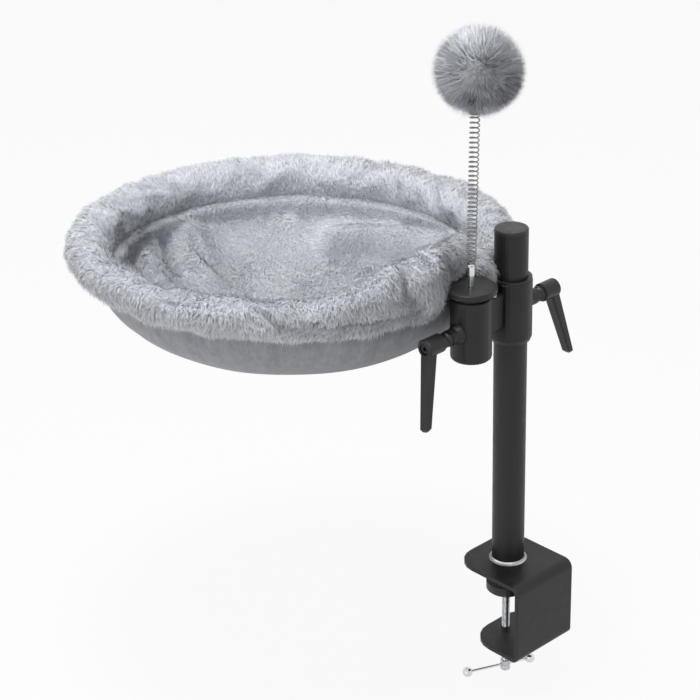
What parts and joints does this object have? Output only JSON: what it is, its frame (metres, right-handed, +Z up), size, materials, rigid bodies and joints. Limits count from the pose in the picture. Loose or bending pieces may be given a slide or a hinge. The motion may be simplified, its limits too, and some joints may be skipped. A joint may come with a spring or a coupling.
{
  "type": "cat hammock bed",
  "caption": "Round plush bowl bed for a cat on a hoop, held beside a desk by a screw clamp, a post and a sliding double sleeve with clamping levers; a pompom stands on a spring.",
  "frame": {"origin": "on the post's axis in the underside of the clamp's top plate, where it rests on the desk", "axes": "+Z up along the post; the clamp's spine faces -Y and its throat opens towards +Y; the bed is out towards +Y"},
  "size_m": [0.4419, 0.4833, 0.6879],
  "materials": {
    "clamp_bracket": "black satin powder coat",
    "clamp_pad": "smooth black",
    "pad_rubber": "black with a tread",
    "clamp_screw": "bright zinc",
    "tommy_bar": "bright",
    "tommy_ball_left": "bright",
    "tommy_ball_right": "bright",
    "post_tube": "black satin powder coat",
    "post_weld": "bare bead",
    "post_cap": "black",
    "post_bush": "black nylon",
    "double_sleeve": "black satin on a casting",
    "pivot_pin": "turned",
    "pivot_disc": "black satin",
    "thrust_washer": "black nylon",
    "stop_bolt": "zinc",
    "hoop": "black",
    "sling_hem": "grey woven tape",
    "sling_mesh": "open grey mesh",
    "sling_tab_left": "hook and loop",
    "sling_tab_right": "hook and loop",
    "plush_rim": "pale blue-grey long pile",
    "plush_lining": "pale blue-grey long pile",
    "plush_bag": "smooth grey backing",
    "toy_stem": "bright",
    "toy_ferrule": "bright",
    "toy_spring": "bright wire",
    "toy_plug": "black",
    "pompom": "pale blue-grey long fur",
    "post_lock_handle": "black satin on a casting",
    "post_lock_stud": "blackened",
    "post_lock_screw": "blackened",
    "post_lock_shoe": "turned",
    "pivot_lock_handle": "black satin on a casting",
    "pivot_lock_stud": "blackened",
    "pivot_lock_screw": "blackened",
    "pivot_lock_shoe": "turned"
  },
  "bodies": {
    "clamp": {"clamp_bracket": "clamp_bracket", "post_tube": "post_tube", "post_weld": "post_weld", "post_cap": "post_cap"},
    "pad": {"clamp_pad": "clamp_pad", "pad_rubber": "pad_rubber"},
    "screw": {"clamp_screw": "clamp_screw"},
    "bar": {"tommy_bar": "tommy_bar", "tommy_ball_left": "tommy_ball_left", "tommy_ball_right": "tommy_ball_right"},
    "bush": {"post_bush": "post_bush"},
    "carriage": {"double_sleeve": "double_sleeve"},
    "post_shoe": {"post_lock_shoe": "post_lock_shoe"},
    "post_stud": {"post_lock_stud": "post_lock_stud", "post_lock_screw": "post_lock_screw"},
    "post_handle": {"post_lock_handle": "post_lock_handle"},
    "pivot_shoe": {"pivot_lock_shoe": "pivot_lock_shoe"},
    "pivot_stud": {"pivot_lock_stud": "pivot_lock_stud", "pivot_lock_screw": "pivot_lock_screw"},
    "pivot_handle": {"pivot_lock_handle": "pivot_lock_handle"},
    "bed": {"pivot_pin": "pivot_pin", "thrust_washer": "thrust_washer", "pivot_disc": "pivot_disc", "stop_bolt": "stop_bolt", "hoop": "hoop", "sling_hem": "sling_hem", "sling_mesh": "sling_mesh", "sling_tab_left": "sling_tab_left", "sling_tab_right": "sling_tab_right", "plush_rim": "plush_rim", "plush_lining": "plush_lining", "plush_bag": "plush_bag"},
    "toy": {"toy_stem": "toy_stem", "toy_ferrule": "toy_ferrule", "toy_spring": "toy_spring"},
    "fluff": {"toy_plug": "toy_plug", "pompom": "pompom"}
  },
  "joints": [
    {"name": "pad_travel", "type": "slide", "parent": "clamp", "child": "pad", "axis": [0, 0, 1], "range_m": [-0.0432, 0.0117]},
    {"name": "screw_turn", "type": "hinge", "parent": "pad", "child": "screw", "pos_m": [0, 0.002, -0.08], "axis": [0, 0, 1], "range_deg": [-12384, 3312]},
    {"name": "bar_slip", "type": "slide", "parent": "screw", "child": "bar", "axis": [0.9164, -0.4003, 0], "range_m": [-0.0165, 0.0305]},
    {"name": "height", "type": "slide", "parent": "clamp", "child": "bush", "axis": [0, 0, 1], "range_m": [-0.19, 0.043]},
    {"name": "bracket_turn", "type": "hinge", "parent": "bush", "child": "carriage", "pos_m": [0, 0, 0.276], "axis": [0, 0, 1], "continuous": true},
    {"name": "post_grip", "type": "slide", "parent": "carriage", "child": "post_shoe", "axis": [0.9998, 0.0175, 0], "range_m": [0, 0.00032]},
    {"name": "post_turn", "type": "hinge", "parent": "post_shoe", "child": "post_stud", "pos_m": [0, 0, 0.2775], "axis": [0.9998, 0.0175, 0], "range_deg": [0, 90]},
    {"name": "post_pull", "type": "slide", "parent": "post_stud", "child": "post_handle", "axis": [0.9998, 0.0175, 0], "range_m": [0, 0.0035], "stiffness_N_per_m": 400, "springref_m": -0.005},
    {"name": "pivot_grip", "type": "slide", "parent": "carriage", "child": "pivot_shoe", "axis": [-0.9994, -0.0349, 0], "range_m": [0, 0.00032]},
    {"name": "pivot_turn", "type": "hinge", "parent": "pivot_shoe", "child": "pivot_stud", "pos_m": [-0.0612, -0.00697, 0.2775], "axis": [-0.9994, -0.0349, 0], "range_deg": [0, 90]},
    {"name": "pivot_pull", "type": "slide", "parent": "pivot_stud", "child": "pivot_handle", "axis": [-0.9994, -0.0349, 0], "range_m": [0, 0.0035], "stiffness_N_per_m": 400, "springref_m": -0.005},
    {"name": "bed_swivel", "type": "hinge", "parent": "carriage", "child": "bed", "pos_m": [-0.0612, -0.00697, 0.29], "axis": [0, 0, 1], "range_deg": [-1, 20]},
    {"name": "toy_turn", "type": "hinge", "parent": "bed", "child": "toy", "pos_m": [-0.0612, -0.00697, 0.33], "axis": [0, 0, 1], "continuous": true},
    {"name": "toy_sway", "type": "hinge", "parent": "toy", "child": "fluff", "pos_m": [-0.0612, -0.00697, 0.387], "axis": [0.6845, 0.729, 0], "range_deg": [-25, 25], "stiffness_Nm_per_rad": 0.5, "deforming": ["toy_spring"]}
  ],
  "couplings": [
    {"joint": "pad_travel", "follows": "screw_turn", "m_per_rad": 0.00019894},
    {"joint": "post_grip", "follows": "post_turn", "m_per_rad": 0.00019894},
    {"joint": "pivot_grip", "follows": "pivot_turn", "m_per_rad": 0.00019894}
  ]
}
